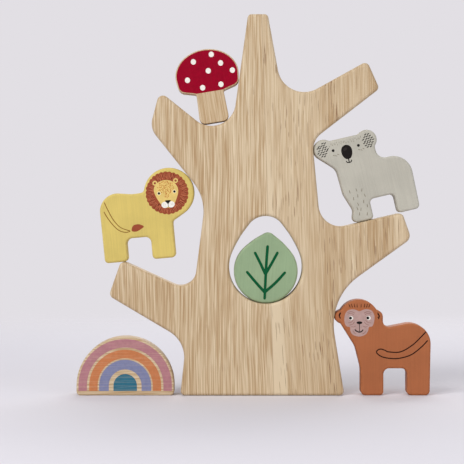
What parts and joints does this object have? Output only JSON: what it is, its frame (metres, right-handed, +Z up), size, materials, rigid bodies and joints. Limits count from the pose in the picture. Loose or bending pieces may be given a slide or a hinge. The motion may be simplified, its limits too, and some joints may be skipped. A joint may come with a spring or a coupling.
{
  "type": "stacking balance toy",
  "caption": "Upright wooden tree slab with forked branches and an egg-shaped hole, with loose printed animal, leaf, mushroom and rainbow pieces to perch and balance on it.",
  "frame": {"origin": "middle of the tree's flat foot, on the table", "axes": "+Z up the trunk, +X to the right seen from the front, +Y from the front face to the back"},
  "size_m": [0.2383, 0.074, 0.2559],
  "materials": {
    "bare_wood": "sanded bare hardwood",
    "leaf_green": "matte paint on wood",
    "mushroom_red": "printed face on bare wood",
    "lion_yellow": "matte paint on wood",
    "koala_grey": "matte paint on wood",
    "monkey_brown": "matte paint on wood",
    "rainbow_wood": "printed bands on bare wood",
    "rabbit_lavender": "matte paint on wood",
    "hedgehog_tan": "matte paint on wood",
    "crocodile_green": "matte paint on wood"
  },
  "bodies": {
    "tree": {"tree": "bare_wood"},
    "leaf": {"leaf": "leaf_green"},
    "mushroom": {"mushroom": "mushroom_red"},
    "lion": {"lion": "lion_yellow"},
    "koala": {"koala": "koala_grey"},
    "monkey": {"monkey": "monkey_brown"},
    "rainbow": {"rainbow": "rainbow_wood"},
    "rabbit": {"rabbit": "rabbit_lavender"},
    "hedgehog": {"hedgehog": "hedgehog_tan"},
    "crocodile": {"crocodile": "crocodile_green"}
  },
  "joints": [
    {"name": "leaf_push", "type": "slide", "parent": "tree", "child": "leaf", "axis": [0, 1, 0], "range_m": [-0.04, 0.04]},
    {"name": "mushroom_lift", "type": "slide", "parent": "tree", "child": "mushroom", "axis": [0, 0, 1], "range_m": [0, 0.06]},
    {"name": "lion_lift", "type": "slide", "parent": "tree", "child": "lion", "axis": [-0.7001, 0, 0.7141], "range_m": [0, 0.06]},
    {"name": "koala_lift", "type": "slide", "parent": "tree", "child": "koala", "axis": [0.8202, 0, 0.5721], "range_m": [0, 0.06]},
    {"name": "monkey_lift", "type": "slide", "parent": "tree", "child": "monkey", "axis": [0.8601, 0, 0.5101], "range_m": [0, 0.06]},
    {"name": "rainbow_lift", "type": "slide", "parent": "tree", "child": "rainbow", "axis": [-0.88, 0, 0.475], "range_m": [0, 0.06]},
    {"name": "rabbit_lift", "type": "slide", "parent": "tree", "child": "rabbit", "axis": [-0.8, 0, 0.6], "range_m": [0, 0.06]},
    {"name": "hedgehog_lift", "type": "slide", "parent": "tree", "child": "hedgehog", "axis": [0.8, 0, 0.6], "range_m": [0, 0.06]},
    {"name": "crocodile_lift", "type": "slide", "parent": "tree", "child": "crocodile", "axis": [0, 0.8, 0.6], "range_m": [0, 0.06]}
  ]
}
